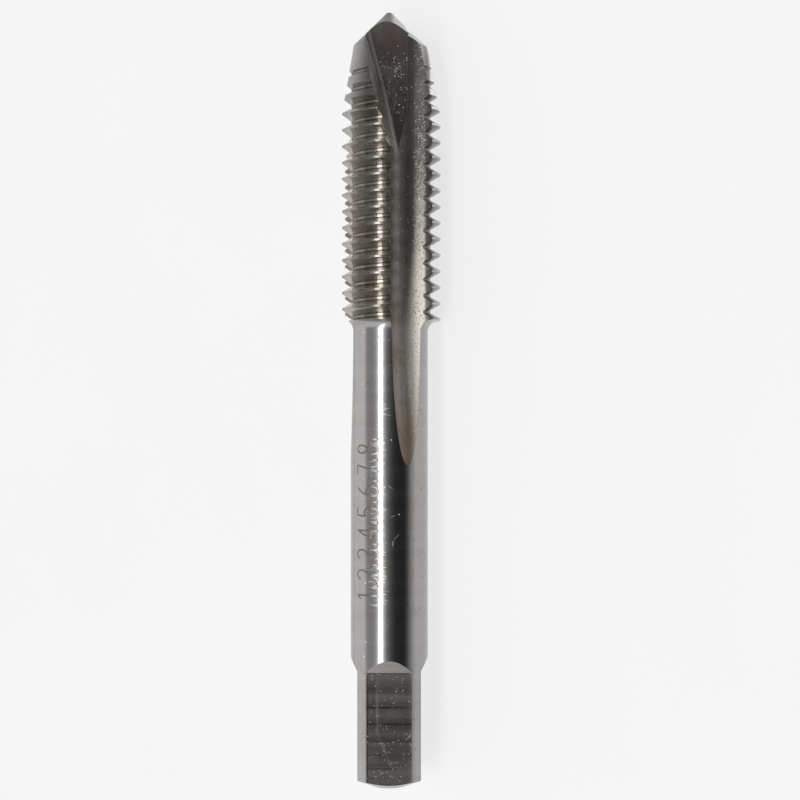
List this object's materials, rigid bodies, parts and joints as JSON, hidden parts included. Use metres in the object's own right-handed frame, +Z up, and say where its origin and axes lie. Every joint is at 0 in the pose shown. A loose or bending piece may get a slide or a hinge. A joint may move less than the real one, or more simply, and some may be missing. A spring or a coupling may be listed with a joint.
{
  "type": "thread tap",
  "caption": "Spiral point thread tap: fluted and threaded cutting end with chamfered lead and pointed nose, plain round shank and square drive end.",
  "frame": {"origin": "middle of the square end's face, on the tap's axis", "axes": "+Y along the axis from the square end to the pointed cutting end; +Z up as the tap lies on its side with one flute straight down; +X to its side"},
  "size_m": [0.008, 0.06, 0.0076],
  "materials": {
    "tool_steel": "bright ground high speed steel, dark ground flutes with fine chips, light machining marks"
  },
  "bodies": {
    "root": {"thread_tap": "tool_steel"}
  },
  "joints": []
}
